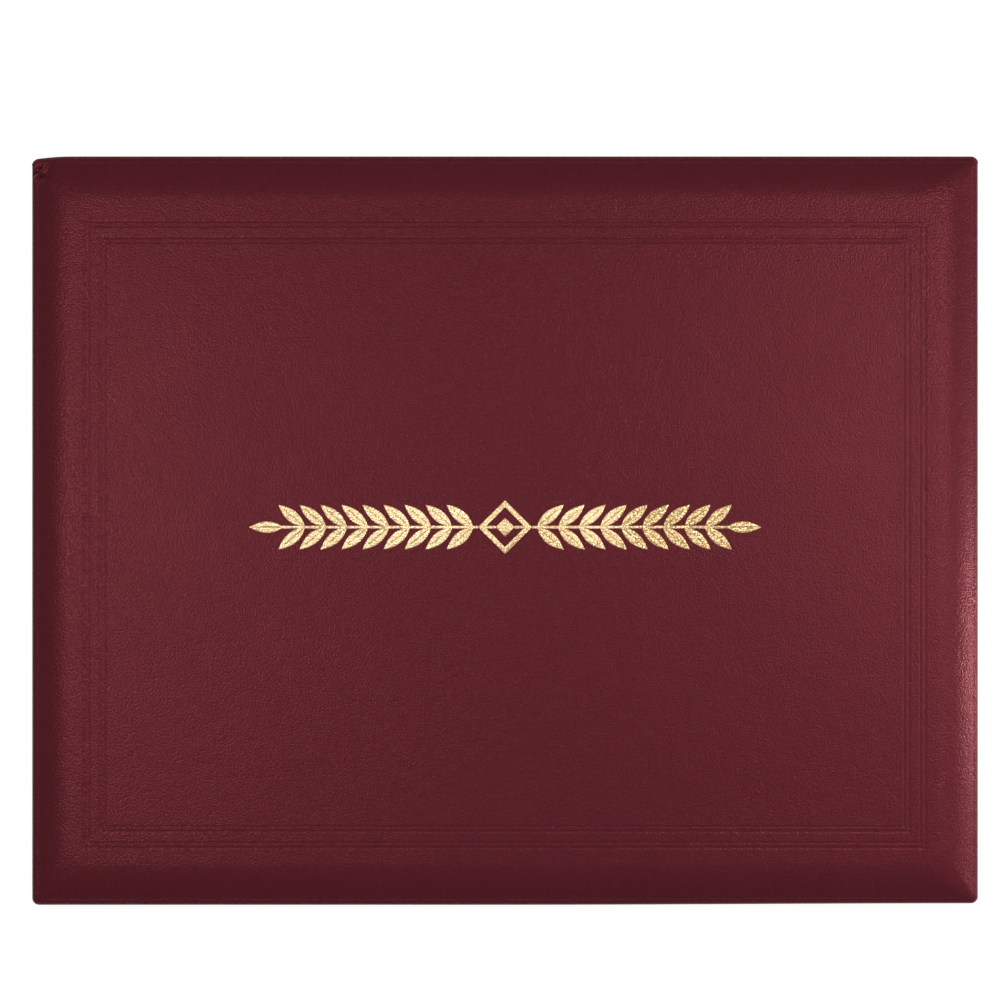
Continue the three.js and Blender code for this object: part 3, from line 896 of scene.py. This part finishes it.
def leaf_mesh():
    """A pointed leaf along X from its stalk, rounded at the rim, with a pressed midrib."""
    ribs = [0.06, 0.14, 0.3, 0.6, 0.82, 0.93, 1]
    ribs = [-v for v in reversed(ribs)] + [0] + ribs
    face, under = [], []
    for i in range(LEAF_STEPS + 1):
        t = i / LEAF_STEPS
        x = 2 * (1 - t) * t * LEAF_LENGTH * LEAF_BELLY + t * t * LEAF_LENGTH
        width = 2 * (1 - t) * t * LEAF_WIDTH
        end_share = smooth(min(t, 1 - t) / LEAF_TIP)
        midrib = MIDRIB * smooth((MIDRIB_END - t) / MIDRIB_FADE)
        row = []
        for v in ribs:
            height = FOIL * foil_height(v) - midrib * math.exp(-((v / MIDRIB_WIDTH) ** 2))
            row.append((x, width * v, max(height * end_share, FOIL_EDGE)))
        face.append(row)
        under.append([(x, width * v, 0.0) for v in ribs])
    return slab("leaf", face, under)


def lozenge(half, hole=None):
    """A foil lozenge, whole or with a lozenge hole, as rings of four corners."""
    levels = [(half, 0.0), (half - FOIL_RIM / 4, FOIL * 0.7), (half - FOIL_RIM, FOIL)]
    if hole:
        levels += [(hole + FOIL_RIM, FOIL), (hole + FOIL_RIM / 4, FOIL * 0.7), (hole, 0.0)]
    rings = [[(h, 0, z), (0, h, z), (-h, 0, z), (0, -h, z)] for h, z in levels]
    return loft("lozenge", rings, around=bool(hole))


def stem(low, high):
    """A straight foil stem between two places along X."""
    across = [-1, -0.85, -0.6, 0, 0.6, 0.85, 1]
    xs = [low + (high - low) * i / STEM_STEPS for i in range(STEM_STEPS + 1)]
    heights = [max(FOIL * foil_height(v), FOIL_EDGE) for v in across]
    face = [[(x, v * STEM_WIDTH / 2, z) for v, z in zip(across, heights)] for x in xs]
    under = [[(x, v * STEM_WIDTH / 2, 0.0) for v in across] for x in xs]
    return slab("stem", face, under)


def joined(name, meshes):
    """Several meshes as one."""
    shape = bmesh.new()
    for mesh in meshes:
        shape.from_mesh(mesh)
    whole = bpy.data.meshes.new(name)
    shape.to_mesh(whole)
    shape.free()
    return whole


# Gold foil: bright metal, whole in some places and in others broken up by the grain of the leatherette
# below it, where it lies thinner and deeper in tone
gold_foil, tree = new_material("hot-stamped gold foil")
place = add(tree, "ShaderNodeTexCoord").outputs["Object"]
foil_pebble = add(tree, "ShaderNodeTexVoronoi", {"Vector": place, "Scale": 1 / PEBBLE}).outputs["Distance"]
speckle = noise_of(tree, place, FOIL_GRAIN, 3.0)
wear = spread(tree, noise_of(tree, place, FOIL_WEAR, 1.0), 0.39, 0.55, 0.2, 1.0)
gold_tone = math_of(tree, "MULTIPLY", spread(tree, speckle, 0.44, 0.58), wear)
surface(
    tree,
    Base_Color=shade(tree, gold_tone, GOLD_COLOUR, GOLD_DEEP),
    Metallic=FOIL_METALLIC,
    Roughness=spread(tree, speckle, *NOISE_RANGE, *FOIL_ROUGHNESS),
    Normal=bumped(tree, math_of(tree, "ADD", foil_pebble, speckle), FOIL_GRAIN_DEPTH),
)

leaf = to_object("leaf", leaf_mesh(), gold_foil)
stem_half = FOIL_HALF_LENGTH - LEAF_LENGTH + STEM_WIDTH
hole_half = LOZENGE_HALF - LOZENGE_BAND * math.sqrt(2)
base = joined(
    "gold_ornament_foil",
    [
        lozenge(LOZENGE_HALF, hole_half),
        lozenge(HEART_HALF),
        stem(-stem_half, -LOZENGE_HALF),
        stem(LOZENGE_HALF, stem_half),
        stem(-hole_half, -HEART_HALF),
        stem(HEART_HALF, hole_half),
    ],
)
branch = bpy.data.node_groups.new("laurel branches", "GeometryNodeTree")
branch.interface.new_socket("Geometry", in_out="OUTPUT", socket_type="NodeSocketGeometry")
for label, kind in (
    ("Geometry", "Geometry"), ("Leaf", "Object"), ("Leaves", "Int"), ("First", "Float"),
    ("Pitch", "Float"), ("Angle", "Float"), ("End", "Float"), ("Foil", "Material"),
):
    branch.interface.new_socket(label, in_out="INPUT", socket_type=f"NodeSocket{kind}")
given = add(branch, "NodeGroupInput").outputs
leaf_shape = add(branch, "GeometryNodeObjectInfo", {"Object": given["Leaf"]}).outputs["Geometry"]
rows = add(branch, "GeometryNodeJoinGeometry")
placed = (
    (given["Leaves"], given["First"], given["Angle"]),
    (given["Leaves"], given["First"], math_of(branch, "MULTIPLY", given["Angle"], -1.0)),
    (1, given["End"], 0.0),
)
for count, first, angle in placed:
    start = add(branch, "ShaderNodeCombineXYZ", {"X": first}).outputs[0]
    step = add(branch, "ShaderNodeCombineXYZ", {"X": given["Pitch"]}).outputs[0]
    turned = add(branch, "ShaderNodeCombineXYZ", {"Z": angle}).outputs[0]
    links = {"Count": count, "Start Location": start, "Offset": step}
    line = add(branch, "GeometryNodeMeshLine", links).outputs[0]
    links = {"Points": line, "Instance": leaf_shape, "Rotation": turned}
    leaves = add(branch, "GeometryNodeInstanceOnPoints", links)
    branch.links.new(leaves.outputs[0], rows.inputs[0])
other_side = add(branch, "GeometryNodeTransform", {"Geometry": rows.outputs[0], "Rotation": (0, 0, math.pi)})
whole = add(branch, "GeometryNodeJoinGeometry")
for part in (given["Geometry"], rows.outputs[0], other_side.outputs[0]):
    branch.links.new(part, whole.inputs[0])
real = add(branch, "GeometryNodeRealizeInstances", {0: whole.outputs[0]})
coloured = add(branch, "GeometryNodeSetMaterial", {"Geometry": real.outputs[0], "Material": given["Foil"]})
add(branch, "NodeGroupOutput", {0: coloured.outputs[0]})

ornament = to_object("gold_ornament_foil", base, gold_foil)
grown = ornament.modifiers.new("laurel branches", "NODES")
grown.node_group = branch
values = {
    "Leaf": leaf, "Leaves": LEAVES, "First": FIRST_LEAF, "Pitch": LEAF_PITCH,
    "Angle": LEAF_ANGLE, "End": stem_half - STEM_WIDTH, "Foil": gold_foil,
}
for item in branch.interface.items_tree:
    if item.in_out == "INPUT" and item.name in values:
        grown[item.identifier] = values[item.name]
baked = bpy.data.meshes.new_from_object(ornament.evaluated_get(bpy.context.evaluated_depsgraph_get()))
ornament.modifiers.remove(grown)
for vertex in baked.vertices:
    x, y, height = vertex.co
    x, y, z = hand_made((x, y + ORNAMENT_Y, FIELD_TOP))
    vertex.co = (x, y, z + height + FOIL_BOTTOM - FIELD_TOP)
ornament.data = baked
bpy.data.objects.remove(leaf)
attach(ornament, "front_cover")
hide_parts("gold_ornament")
